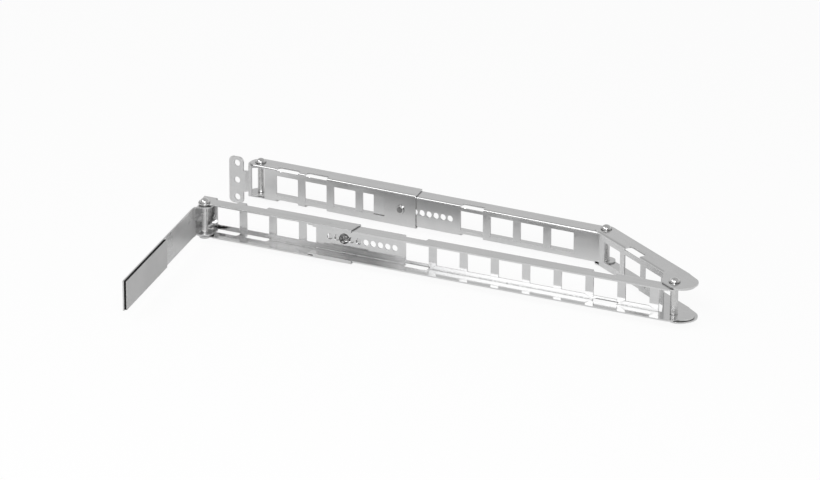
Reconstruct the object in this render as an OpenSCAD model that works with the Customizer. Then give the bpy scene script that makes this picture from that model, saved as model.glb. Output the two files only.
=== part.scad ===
/* [Sheet metal] */
// Sheet thickness of the arm channels and the link
sheet_t = 1.2; // [0.9:0.1:1.3]
// Outside bend radius of the channels
bend_r = 1.7; // [1.5:0.1:2.2]
// Sheet thickness of the rack ear
ear_t = 1.6; // [1.2:0.1:1.8]
// Sheet thickness of the server bracket
bracket_t = 1.2; // [1:0.1:1.6]

/* [Channels] */
// Outside height of the outer channels and the link
channel_h = 30.9; // [30:0.1:34]
// Depth of the outer channels, web face to flange edge
channel_depth = 18.7; // [18:0.1:20]
// Play between an inner channel and the outer channel, each side
slide_gap = 0.25; // [0.15:0.05:0.4]
// Depth of the retaining lips below an outer channel's flanges
lip_h = 3; // [2:0.1:3.5]
// Length of the retaining lips
lip_len = 37.2; // [20:0.2:40]

/* [Cable windows] */
// Width of an arm window
window_w = 22.2; // [18:0.1:24]
// Height of every window
window_h = 18.2; // [14:0.1:20]
// Spacing of the arm windows
window_pitch = 29.5; // [28:0.1:32]
// Corner radius of the windows
window_r = 0.8; // [0.4:0.1:2]
// Width of the strap slots across the bends, measured on the flange
slot_depth = 6; // [4:0.1:7]
// Height of the strap slots, measured on the web
slot_h = 2.2; // [1.8:0.1:3]

/* [Arm lengths] */
// Windows in an outer channel
outer_windows = 4; // [3:1:4]
// Windows in the rear inner channel
rear_windows = 4; // [3:1:6]
// Windows in the front inner channel
front_windows = 8; // [6:1:9]
// From the first window to the lock screw on an outer channel
outer_screw_x = 126.5; // [124:0.5:130]
// From the lock screw to the open end of an outer channel
outer_tail = 15.2; // [12:0.1:16]

/* [Adjustment] */
// Adjusting holes in an inner channel
hole_count = 10; // [8:1:10]
// Spacing of the adjusting holes
hole_pitch = 7; // [6.6:0.1:7.1]
// Radius of the adjusting holes
hole_r = 2.8; // [2.55:0.05:2.9]
// Which adjusting hole the lock screw stands in
hole_used = 3; // [1:1:8]

/* [Hinges] */
// Radius of the hinge rivets
pin_r = 2; // [1.6:0.1:2.2]
// Running clearance of a rivet in a turning hole
pin_gap = 0.05; // [0.03:0.01:0.08]
// Outside radius of the spacer tubes
spacer_r = 2.8; // [2.5:0.05:3]
// Outside radius of the spacer tubes on the link
link_spacer_r = 3.3; // [2.8:0.1:3.6]
// Radius of the rivet heads
head_r = 4.3; // [3.8:0.1:4.6]
// Height of the rivet heads
head_h = 2.8; // [2:0.1:3.2]
// Radius of the set lower ends of the rivets
tail_r = 3.4; // [3:0.1:4]
// Height of the set lower ends of the rivets
tail_h = 1.5; // [1:0.1:2]
// Thickness of the hinge washers
washer_t = 1; // [0.6:0.1:1.2]

/* [Rack ear] */
// Hole spacing of the rack rail
ear_pitch = 15.875; // [15.875]
// Radius of the rack screw holes
ear_hole_r = 3; // [2.7:0.1:3.4]
// Width of the ear plate
ear_w = 14.6; // [14:0.1:15.8]

/* [Server bracket] */
// Length of the bracket plate beyond the hinge
plate_len = 199.5; // [180:0.5:230]
// Length of the adhesive pad
pad_len = 107; // [80:1:110]
// Height of the adhesive pad
pad_h = 25.2; // [20:0.1:25.6]
// Thickness of the foam pad
foam_t = 2; // [1:0.1:2.5]
// Thickness of the release liner
liner_t = 0.3; // [0.2:0.1:0.5]

/* [Resting pose] */
// Turn of the link from the rear arm
link_angle = -33.2; // [-36:0.1:-10]
// Turn of the front arm from the rear arm
front_angle = 1.76; // [0:0.02:6]
// Turn of the server bracket plate from the rear arm
bracket_angle = -75.5; // [-110:0.5:-60]

/* [Hidden] */
$fn = 64;

zinc = [0.74, 0.75, 0.76];
plate_zinc = [0.68, 0.69, 0.70];
steel = [0.80, 0.80, 0.80];
black_foam = [0.06, 0.06, 0.06];
grey_liner = [0.62, 0.62, 0.62];

// half heights, measured from the middle of the channels
outer_z = channel_h / 2;
flange_z = outer_z - sheet_t;
inner_z = flange_z - slide_gap;
inner_face_z = inner_z - sheet_t;
lug_z = flange_z - 0.15;
lug_face_z = lug_z - ear_t;
yoke_z = flange_z - washer_t - 0.1;
yoke_face_z = yoke_z - bracket_t;

// inner channels stand a sheet and a small gap inside the outer ones
web_gap = 0.1;
inner_off = sheet_t + web_gap;
inner_depth = channel_depth - 2 * sheet_t - 0.3;

// positions along an arm, from the first window of its outer channel
outer_end = outer_screw_x + outer_tail;
end_cut_x = 3.8;
hole_first = 13.5;
window_first = hole_first + (hole_count + 0.5) * hole_pitch;
inner_left = outer_screw_x - hole_first - (hole_used - 1) * hole_pitch;
rear_web_len = window_first + (rear_windows - 1) * window_pitch + window_w + 24.8;
front_web_len = window_first + (front_windows - 1) * window_pitch + window_w + 8.3;
web_start = -12.5;

// hinge axes: A ear, B server, C rear of the link, D front of the link
pin_a_x = -21.8;
pin_a_depth = channel_depth / 2;
pin_b_x = -4;
pin_b_depth = 16;
pin_b_lug_r = 5.6;
pin_c_depth = 8.4;
pin_c_x = inner_left + rear_web_len + 2.7;
pin_d_x = inner_left + front_web_len + 13.2;
pin_d_depth = 0.8;
front_end_out = 6.5;
front_end_r = 11.3;
rear_len = pin_c_x - pin_a_x;
front_len = pin_d_x - pin_b_x;

// link, measured from hinge C
link_web_y = -9.6;
link_depth = 17;
link_web_x0 = 5;
link_window_x = 13.6;
link_window_w = 27;
link_window_pitch = 34.2;
link_windows = 3;
link_slot_depth = 7;
link_d = [137.8, -13.6];
link_web_x1 = link_window_x + (link_windows - 1) * link_window_pitch + link_window_w + 4;
paddle_c = [138.9, -10.9];
paddle_r = 17;
paddle_turn = 85;
paddle_front = 22.7;
paddle_corner_r = 10;

// rack ear
ear_z = 21.8;
ear_x0 = -8.2;
ear_r = 4.5;
neck_z = 9.8;
pin_a = [16.4, 13.9];
ear_lug_r = 11.2;
ear_web_x = pin_a[0] - 6;
ear_web_w = 3.2;
ear_web_y = 2;
lug_r = 7.8;

// server bracket
bracket_web_y = -6.3;
yoke_web_y = -5.7;
yoke_web_x = -12;
yoke_bend_r = 3.1;
step_x0 = 10;
step_x1 = 12.2;
pad_x = plate_len - pad_len;
pad_z = 0.2;

// hardware
washer_r = 4.9;
washer_play = 0.05;
washer_z = outer_z + washer_play;
head_z = washer_z + washer_t;
screw_r = 2.4;
screw_head_r = 4.5;
screw_head_h = 2.7;
nut_r = 3.9;
nut_h = 1.4;
nut_boss_r = 3.2;
recess_w = 1.1;
recess_d = 1.5;

// flat shapes
module round_rect(w, h, r) {
  union() {
    translate([r, 0]) square([w - 2 * r, h]);
    translate([0, r]) square([w, h - 2 * r]);
    for (x = [r, w - r], y = [r, h - r]) translate([x, y]) circle(r);
  }
}

module u_profile(half, depth, r, t) {
  ri = r - t;
  difference() {
    union() {
      translate([r, -half]) square([depth - r, 2 * half]);
      translate([0, r - half]) square([depth, 2 * (half - r)]);
      for (s = [-1, 1]) translate([r, s * (half - r)]) circle(r);
    }
    union() {
      translate([r, t - half]) square([depth, 2 * (half - t)]);
      translate([t, r - half]) square([depth, 2 * (half - r)]);
      for (s = [-1, 1]) translate([r, s * (half - r)]) circle(ri);
    }
  }
}

// a channel along X, web outer face at y = 0, flanges towards +Y
module channel(x0, x1, half, depth) {
  translate([x0, 0, 0]) rotate([90, 0, 90]) linear_extrude(x1 - x0)
    u_profile(half, depth, bend_r, sheet_t);
}

module window_cut(x, w) {
  translate([x, sheet_t + 1, -window_h / 2]) rotate([90, 0, 0])
    linear_extrude(sheet_t + 2) round_rect(w, window_h, window_r);
}

// a strap slot across both bends
module slot_cut(x, w, half, depth) {
  for (z = [half - slot_h, -half - 1])
    translate([x, -slot_depth, z]) linear_extrude(slot_h + 1)
      round_rect(w, slot_depth + depth, 2.2);
}

module web_hole(x, r) {
  translate([x, sheet_t + 1, 0]) rotate([90, 0, 0]) cylinder(r = r, h = sheet_t + 2);
}

// clears the web between the flanges, from x0 to x1
module web_cut(x0, x1, half) {
  translate([x0, -1, sheet_t - half]) cube([x1 - x0, bend_r + 1.2, 2 * (half - sheet_t)]);
}

module pin_hole(p, r) {
  translate([p[0], p[1], -outer_z - 2]) cylinder(r = r, h = channel_h + 4);
}

// flange ends of the rear outer channel, cut back towards their free edges
module end_cut() {
  translate([0, 0, -outer_z - 1]) linear_extrude(channel_h + 2)
    polygon([[outer_end, bend_r + 0.8], [outer_end + 1, bend_r + 0.8],
             [outer_end + 1, channel_depth + 1], [outer_end - end_cut_x, channel_depth + 1]]);
}

// outer channel, x from its first window, depth along +Y
module outer_channel(pin_x, pin_depth, full_round) {
  difference() {
    union() {
      bare_outer(pin_x, pin_depth, full_round);
      // retaining lips turned in along the flange edges
      for (s = [-1, 1])
        translate([outer_end - lip_len, channel_depth - sheet_t, s > 0 ? outer_z - lip_h : -outer_z])
          cube([lip_len, sheet_t, lip_h]);
    }
    if (full_round) end_cut();
  }
}

module bare_outer(pin_x, pin_depth, full_round) {
  difference() {
    intersection() {
      channel(-60, outer_end, outer_z, channel_depth);
      translate([0, 0, -outer_z - 1]) linear_extrude(channel_h + 2) union() {
        if (full_round) {
          translate([pin_x, 0]) square([outer_end - pin_x, channel_depth]);
          translate([pin_x, pin_depth]) circle(channel_depth / 2);
        } else {
          translate([pin_x, 0]) square([outer_end - pin_x, channel_depth]);
          polygon([[web_start - 0.6, 0], [pin_x + 1, 0], [pin_x + 1, channel_depth],
                   [pin_x - 1, channel_depth], [pin_x - pin_b_lug_r + 0.1, pin_depth - 1]]);
        }
      }
    }
    if (full_round) web_cut(pin_x - 30, web_start, outer_z);
    for (i = [0 : outer_windows - 1]) window_cut(i * window_pitch, window_w);
    for (i = [0, 1]) slot_cut(i * window_pitch, window_w, outer_z, slot_depth);
    web_hole(outer_screw_x, nut_boss_r);
    pin_hole([pin_x, pin_depth], pin_r + pin_gap);
  }
}

// inner channel, x from its slotted end, depth along +Y
module inner_channel(count, web_len, pin_x, slots) {
  difference() {
    channel(0, pin_x, inner_z, inner_depth);
    web_cut(web_len, pin_x + 1, inner_z);
    for (i = [0 : hole_count - 1]) web_hole(hole_first + i * hole_pitch, hole_r);
    for (i = [0 : count - 1]) window_cut(window_first + i * window_pitch, window_w);
    for (i = slots) slot_cut(window_first + i * window_pitch, window_w, inner_z, slot_depth);
  }
}

// the two flange levels of an inner channel
module inner_flanges() {
  for (z = [inner_face_z, -inner_z]) translate([0, 0, z]) linear_extrude(sheet_t) children();
}

module dome(r, h) {
  cap = (r * r + h * h) / (2 * h);
  translate([0, 0, head_z]) intersection() {
    cylinder(r = r, h = h + 1);
    translate([0, 0, h - cap]) sphere(cap);
  }
}

module rivet() {
  cylinder(r = pin_r, h = 2 * head_z, center = true);
  dome(head_r, head_h);
  mirror([0, 0, 1]) dome(tail_r, tail_h);
}

module spacer(half, r) {
  difference() {
    cylinder(r = r, h = 2 * half, center = true);
    cylinder(r = pin_r + pin_gap, h = 2 * half + 2, center = true);
  }
}

module washer() {
  difference() {
    cylinder(r = washer_r, h = washer_t);
    translate([0, 0, -1]) cylinder(r = pin_r + pin_gap, h = washer_t + 2);
  }
}

// one washer under each rivet head
module washers() {
  for (m = [0, 1]) mirror([0, 0, m]) translate([0, 0, washer_z]) washer();
}

// clinch nut in the outer web, collar outside
module clinch_nut() {
  rotate([-90, 0, 0]) difference() {
    union() {
      translate([0, 0, -nut_h]) cylinder(r = nut_r, h = nut_h);
      cylinder(r = nut_boss_r, h = sheet_t);
    }
    translate([0, 0, -nut_h - 1]) cylinder(r = screw_r + 0.05, h = nut_h + sheet_t + 2);
  }
}

// pan head screw from the inside of the channel
module lock_screw() {
  seat = inner_off + sheet_t + 0.05;
  cap = 6.5;
  rotate([-90, 0, 0]) difference() {
    union() {
      translate([0, 0, -nut_h - 0.6]) cylinder(r = screw_r, h = nut_h + 0.6 + seat + 0.5);
      translate([0, 0, seat]) intersection() {
        cylinder(r = screw_head_r, h = screw_head_h);
        translate([0, 0, screw_head_h - cap]) sphere(cap);
      }
    }
    for (a = [0, 90]) translate([0, 0, seat + screw_head_h - recess_d]) rotate(a + 20)
      translate([-2.3, -recess_w / 2, 0]) cube([4.6, recess_w, recess_d + 1]);
  }
}

// frames of the moving bodies
module rear_frame() {
  translate([pin_a[0] - pin_a_x, pin_a[1] - pin_a_depth, 0]) children();
}
module link_frame() {
  translate([pin_a[0] + rear_len, pin_a[1] - pin_a_depth + pin_c_depth, 0]) rotate(link_angle)
    children();
}
module front_pin_frame() {
  link_frame() translate(link_d) rotate(front_angle - link_angle) children();
}
// x from the first window of the front outer channel, depth along -Y
module front_frame() {
  front_pin_frame() translate([-pin_d_x, pin_d_depth, 0]) rotate([180, 0, 0]) children();
}
module server_frame() {
  front_pin_frame() translate([-front_len, pin_d_depth - pin_b_depth, 0])
    rotate(bracket_angle - front_angle) children();
}

// ear plate, neck and hinge yoke
module ear_lug() {
  difference() {
    union() {
      translate(pin_a) circle(ear_lug_r);
      translate([ear_web_x, ear_web_y]) square([ear_web_w, 6]);
    }
    // front edge cut back beside the web, so that the arm can swing forward
    polygon([[ear_web_x + ear_web_w, ear_web_y - 1], [ear_web_x + ear_web_w, ear_web_y + 1.6],
             pin_a + [3, -7], pin_a + [20, -7], pin_a + [20, -20]]);
  }
}
module rack_ear_bracket() {
  color(plate_zinc) difference() {
    union() {
      translate([ear_x0, ear_t, -ear_z]) rotate([90, 0, 0])
        linear_extrude(ear_t) round_rect(ear_w, 2 * ear_z, ear_r);
      // neck, joggled back to the web of the yoke
      translate([0, 0, -neck_z]) linear_extrude(2 * neck_z)
        polygon([[ear_x0 + ear_w - 1, 0], [ear_web_x - 1.6, 0], [ear_web_x + 0.2, ear_web_y],
                 [ear_web_x + 0.2, ear_web_y + ear_t], [ear_web_x - 0.4, ear_web_y + ear_t],
                 [ear_web_x - 2.2, ear_t], [ear_x0 + ear_w - 1, ear_t]]);
      translate([ear_web_x, ear_web_y, -lug_z]) cube([ear_web_w, ear_t, 2 * lug_z]);
      for (z = [lug_face_z, -lug_z]) translate([0, 0, z]) linear_extrude(ear_t) ear_lug();
    }
    for (i = [-1 : 1]) translate([0, ear_t + 1, i * ear_pitch]) rotate([90, 0, 0])
      cylinder(r = ear_hole_r, h = ear_t + 2);
    pin_hole(pin_a, pin_r);
  }
}

module rear_outer_channel() {
  color(zinc) rear_frame() outer_channel(pin_a_x, pin_a_depth, true);
}
module rear_clinch_nut() {
  color(steel) rear_frame() translate([outer_screw_x, 0, 0]) clinch_nut();
}
module rear_lock_screw() {
  color(steel) rear_frame() translate([outer_screw_x, 0, 0]) lock_screw();
}

module rear_inner_channel() {
  pin_x = pin_c_x - inner_left;
  pin_y = pin_c_depth - inner_off;
  color(zinc) rear_frame() translate([inner_left, inner_off, 0]) difference() {
    union() {
      inner_channel(rear_windows, rear_web_len, pin_x, [0]);
      inner_flanges() translate([pin_x, inner_depth / 2]) circle(inner_depth / 2);
    }
    pin_hole([pin_x, pin_y], pin_r + pin_gap);
  }
}

module link_channel() {
  end_r = link_depth / 2;
  color(zinc) link_frame() difference() {
    union() {
      translate([0, link_web_y, 0]) difference() {
        channel(0, link_web_x1 + 15, outer_z, link_depth);
        web_cut(-1, link_web_x0, outer_z);
        web_cut(link_web_x1, link_web_x1 + 20, outer_z);
        for (i = [0 : link_windows - 1])
          window_cut(link_window_x + i * link_window_pitch, link_window_w);
        slot_cut(link_window_x + link_window_pitch, link_window_w - 2, outer_z, link_slot_depth);
      }
      // rounded rear end and the large round front end of both flanges
      for (z = [flange_z, -outer_z]) translate([0, 0, z]) linear_extrude(sheet_t) union() {
        translate([0, link_web_y + end_r]) circle(end_r);
        intersection() {
          translate(paddle_c) circle(paddle_r);
          translate([paddle_c[0] - 9, -paddle_front]) round_rect(26.5, 50, paddle_corner_r);
        }
        polygon([[link_web_x1 - 0.4, link_web_y + 1], [link_web_x1, link_web_y],
                 [paddle_c[0] - 6, -paddle_front], [paddle_c[0] + 6.5, -paddle_front],
                 paddle_c + paddle_r * [cos(paddle_turn), sin(paddle_turn)],
                 [link_web_x1 + 10, link_web_y + link_depth],
                 [link_web_x1 - 0.4, link_web_y + link_depth]]);
      }
    }
    pin_hole([0, 0], pin_r);
    pin_hole(link_d, pin_r);
  }
}

module front_inner_channel() {
  pin_x = pin_d_x - inner_left;
  pin_y = pin_d_depth - inner_off;
  color(zinc) front_frame() translate([inner_left, inner_off, 0]) difference() {
    union() {
      inner_channel(front_windows, front_web_len, pin_x, [0, 6]);
      inner_flanges() union() {
        translate([pin_x, inner_depth / 2]) circle(inner_depth / 2);
        translate([pin_x + front_end_out, pin_y]) circle(front_end_r);
      }
    }
    pin_hole([pin_x, pin_y], pin_r + pin_gap);
  }
}

module front_outer_channel() {
  color(zinc) front_frame() difference() {
    union() {
      outer_channel(pin_b_x, pin_b_depth, false);
      for (z = [flange_z, -outer_z]) translate([pin_b_x, pin_b_depth, z])
        linear_extrude(sheet_t) circle(pin_b_lug_r);
    }
    pin_hole([pin_b_x, pin_b_depth], pin_r + pin_gap);
  }
}
module front_clinch_nut() {
  color(steel) front_frame() translate([outer_screw_x, 0, 0]) clinch_nut();
}
module front_lock_screw() {
  color(steel) front_frame() translate([outer_screw_x, 0, 0]) lock_screw();
}

// plate of the server bracket, joggled towards the pin at the yoke
module bracket_plate(h) {
  linear_extrude(h, center = true)
    polygon([[yoke_web_x, yoke_web_y - bracket_t], [yoke_web_x, yoke_web_y],
             [step_x0, yoke_web_y], [step_x1, bracket_web_y], [plate_len, bracket_web_y],
             [plate_len, bracket_web_y - bracket_t], [step_x1 - 0.4, bracket_web_y - bracket_t],
             [step_x0 - 0.4, yoke_web_y - bracket_t]]);
}

// long plate with a hinge yoke, x along the plate
module server_bracket() {
  color(plate_zinc) server_frame() difference() {
    union() {
      bracket_plate(2 * (yoke_z - yoke_bend_r));
      difference() {
        bracket_plate(2 * yoke_z);
        translate([-lug_r, -20, -yoke_z - 1]) cube([2 * lug_r, 40, 2 * yoke_z + 2]);
      }
      // yoke, bent from the plate
      intersection() {
        translate([-lug_r, yoke_web_y - bracket_t, 0]) rotate([90, 0, 90])
          linear_extrude(2 * lug_r)
            u_profile(yoke_z, lug_r - yoke_web_y + bracket_t, yoke_bend_r, bracket_t);
        translate([0, 0, -yoke_z - 1]) linear_extrude(2 * yoke_z + 2) union() {
          circle(lug_r);
          translate([-lug_r, yoke_web_y - bracket_t]) square([2 * lug_r, -yoke_web_y + bracket_t]);
        }
      }
    }
    pin_hole([0, 0], pin_r);
  }
}

module foam_pad() {
  color(black_foam) server_frame()
    translate([pad_x, bracket_web_y, pad_z - pad_h / 2]) cube([pad_len, foam_t, pad_h]);
}
module pad_liner() {
  color(grey_liner) server_frame() translate([pad_x, bracket_web_y + foam_t, pad_z - pad_h / 2])
    cube([pad_len, liner_t, pad_h]);
}

module ear_hinge_rivet() {
  color(steel) translate(pin_a) rivet();
}
module ear_hinge_spacer() {
  color(steel) translate(pin_a) spacer(lug_face_z, spacer_r);
}
module ear_hinge_washers() {
  color(steel) translate(pin_a) washers();
}

module rear_link_rivet() {
  color(steel) link_frame() rivet();
}
module rear_link_spacer() {
  color(steel) link_frame() spacer(inner_face_z, link_spacer_r);
}
module rear_link_washers() {
  color(steel) link_frame() washers();
}

module front_link_rivet() {
  color(steel) front_pin_frame() rivet();
}
module front_link_spacer() {
  color(steel) front_pin_frame() spacer(inner_face_z, link_spacer_r);
}
module front_link_washers() {
  color(steel) front_pin_frame() washers();
}

module server_hinge_rivet() {
  color(steel) server_frame() rivet();
}
module server_hinge_spacer() {
  color(steel) server_frame() spacer(yoke_face_z, spacer_r);
}
module server_hinge_washers() {
  color(steel) server_frame() {
    washers();
    // inner pair, between the yoke and the channel flanges
    for (m = [0, 1]) mirror([0, 0, m]) translate([0, 0, yoke_z + washer_play]) washer();
  }
}

rack_ear_bracket();
rear_outer_channel();
rear_clinch_nut();
rear_lock_screw();
rear_inner_channel();
link_channel();
front_inner_channel();
front_outer_channel();
front_clinch_nut();
front_lock_screw();
server_bracket();
foam_pad();
pad_liner();
ear_hinge_rivet();
ear_hinge_spacer();
ear_hinge_washers();
rear_link_rivet();
rear_link_spacer();
rear_link_washers();
front_link_rivet();
front_link_spacer();
front_link_washers();
server_hinge_rivet();
server_hinge_spacer();
server_hinge_washers();
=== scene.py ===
"""Looks, studio and camera for a server cable management arm.

The arm is a chain of pressed channels in zinc-plated sheet: a rack ear, a rear telescopic arm, an elbow
link, a front telescopic arm and a server bracket with a foam pad, joined by four riveted hinges.  Every
piece of metal keeps its construction mesh and gets broken edges and a plated finish.  The soft pad and
its film are modelled here.
"""

from __future__ import annotations

import logging
import math
import random
from dataclasses import dataclass, field
from enum import Enum
from typing import Any, Iterable

import bmesh
import bpy
from mathutils import Matrix, Vector


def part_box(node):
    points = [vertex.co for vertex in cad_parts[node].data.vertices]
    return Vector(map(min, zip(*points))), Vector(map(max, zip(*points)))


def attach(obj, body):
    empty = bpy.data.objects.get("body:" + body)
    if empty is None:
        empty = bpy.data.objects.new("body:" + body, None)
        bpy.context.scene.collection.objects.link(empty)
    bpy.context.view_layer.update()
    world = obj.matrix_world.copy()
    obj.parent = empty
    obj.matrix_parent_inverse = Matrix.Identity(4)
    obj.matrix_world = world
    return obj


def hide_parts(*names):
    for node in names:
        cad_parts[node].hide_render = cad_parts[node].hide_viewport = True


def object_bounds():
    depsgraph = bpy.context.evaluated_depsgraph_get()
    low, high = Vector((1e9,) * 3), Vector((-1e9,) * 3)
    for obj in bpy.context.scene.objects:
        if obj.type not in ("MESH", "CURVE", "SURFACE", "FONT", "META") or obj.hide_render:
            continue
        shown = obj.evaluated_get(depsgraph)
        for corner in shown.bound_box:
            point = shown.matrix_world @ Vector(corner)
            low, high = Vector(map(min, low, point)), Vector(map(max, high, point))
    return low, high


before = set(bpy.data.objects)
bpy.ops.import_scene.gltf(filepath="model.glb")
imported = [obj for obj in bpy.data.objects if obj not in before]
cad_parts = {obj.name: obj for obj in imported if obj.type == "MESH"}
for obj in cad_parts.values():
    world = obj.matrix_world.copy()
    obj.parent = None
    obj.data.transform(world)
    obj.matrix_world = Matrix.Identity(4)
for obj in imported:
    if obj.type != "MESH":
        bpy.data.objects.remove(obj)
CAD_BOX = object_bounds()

LOG = logging.getLogger("cable_arm")
MM = 0.001
WHITE = (1.0, 1.0, 1.0, 1.0)
NOISE_MIDDLE = (0.3, 0.7)
# Occlusion range over which the painted corner shade builds up.
PAINTED_SHADE_SPAN = (0.1, 0.8)
RAY_SAMPLES = 6


class Slot(Enum):
    """Material slots of the record."""

    CHANNEL = "channel_zinc"
    BRACKET = "bracket_zinc"
    HARDWARE = "hardware"
    FOAM = "foam"
    LINER = "liner"


class Body(Enum):
    """Rigid bodies that a modelled piece rides on."""

    SERVER_END = "server_end"


class Kind(Enum):
    """Kinds of group socket."""

    VALUE = "NodeSocketFloat"
    VECTOR = "NodeSocketVector"


# ---------------------------------------------------------------------------------------------------
# Shared effects
# ---------------------------------------------------------------------------------------------------


class NodeSheet:
    """A thin helper that adds and joins shader nodes in one tree."""

    def __init__(self, tree: bpy.types.NodeTree) -> None:
        """Keeps the tree that the nodes go into."""
        self.tree = tree

    def join(self, socket: bpy.types.NodeSocket, node: bpy.types.Node, key: str | int) -> None:
        """Joins an output socket to an input of a node."""
        self.tree.links.new(socket, node.inputs[key])

    def fill(self, node: bpy.types.Node, key: str | int, value: Any) -> None:
        """Gives an input its value.

        Args:
            node: The node.
            key: Name or number of the input.
            value: A default, or an output socket to join.
        """
        if isinstance(value, bpy.types.NodeSocket):
            self.join(value, node, key)
        else:
            node.inputs[key].default_value = value

    def add(
        self, kind: str, values: dict[str | int, Any] | None = None, **settings: Any
    ) -> bpy.types.Node:
        """Adds one node.

        Args:
            kind: Blender's node type.
            values: Input sockets, by name or number, with a default or an output socket to join.
            settings: Properties of the node itself.

        Returns:
            The new node.
        """
        node = self.tree.nodes.new(kind)
        for name, value in settings.items():
            setattr(node, name, value)
        for key, value in (values or {}).items():
            self.fill(node, key, value)
        return node

    def place(self) -> bpy.types.NodeSocket:
        """Gives the place on the object."""
        return self.add("ShaderNodeTexCoord").outputs["Object"]

    def normal(self) -> bpy.types.NodeSocket:
        """Gives the surface normal."""
        return self.add("ShaderNodeNewGeometry").outputs["Normal"]

    def math(self, operation: str, *terms: Any, clamp: bool = False) -> bpy.types.NodeSocket:
        """Adds a Math node.

        Args:
            operation: The Math node's operation.
            terms: Numbers or output sockets, in order.
            clamp: Whether the result is held between 0 and 1.

        Returns:
            The output socket.
        """
        values = dict(enumerate(terms))
        return self.add("ShaderNodeMath", values, operation=operation, use_clamp=clamp).outputs[0]

    def vector(self, operation: str, first: Any, second: Any = None) -> bpy.types.Node:
        """Adds a Vector Math node.

        Args:
            operation: The node's operation.
            first: First vector, a tuple or an output socket.
            second: Second vector, or None.

        Returns:
            The node.
        """
        values = {0: first} if second is None else {0: first, 1: second}
        return self.add("ShaderNodeVectorMath", values, operation=operation)

    def noise(
        self, place: Any, scale: Any, detail: float, rough: float = 0.5, warp: float = 0.0
    ) -> bpy.types.NodeSocket:
        """Adds a noise texture.

        Args:
            place: The vector that it reads.
            scale: Its scale.
            detail: Its number of octaves.
            rough: How strong the finer octaves are.
            warp: How far it is distorted.

        Returns:
            The value output.
        """
        values = {"Vector": place, "Scale": scale, "Detail": detail, "Roughness": rough, "Distortion": warp}
        return self.add("ShaderNodeTexNoise", values).outputs[0]

    def span(
        self, value: Any, low: float, high: float, to_low: float = 0.0, to_high: float = 1.0
    ) -> bpy.types.NodeSocket:
        """Maps low..high to to_low..to_high smoothly and holds the result there.

        Args:
            value: The output socket that is read.
            low: Where the result starts to change.
            high: Where it stops.
            to_low: Result at and below low.
            to_high: Result at and above high.

        Returns:
            The output socket.
        """
        values = {"Value": value, "From Min": low, "From Max": high, "To Min": to_low, "To Max": to_high}
        return self.add("ShaderNodeMapRange", values, interpolation_type="SMOOTHSTEP").outputs[0]

    def mix(self, factor: Any, first: Any, second: Any) -> bpy.types.NodeSocket:
        """Mixes two colours.

        Args:
            factor: Share of the second colour.
            first: First colour, a tuple or an output socket.
            second: Second colour, a tuple or an output socket.

        Returns:
            The colour output.
        """
        return self.add("ShaderNodeMix", {0: factor, 6: first, 7: second}, data_type="RGBA").outputs[2]


class Effect(Enum):
    """Shared surface effects, each built once as a node group."""

    ROLLED_GRAIN = "rolled_grain"
    PLATING_CLOUD = "plating_cloud"
    EDGE_WEAR = "edge_wear"
    SCUFFS = "scuffs"
    CORNER_PAINTED_SHADE = "corner_grime"
    DUST = "dust"
    TURNED_RINGS = "turned_rings"
    FOAM_CELLS = "foam_cells"


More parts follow.
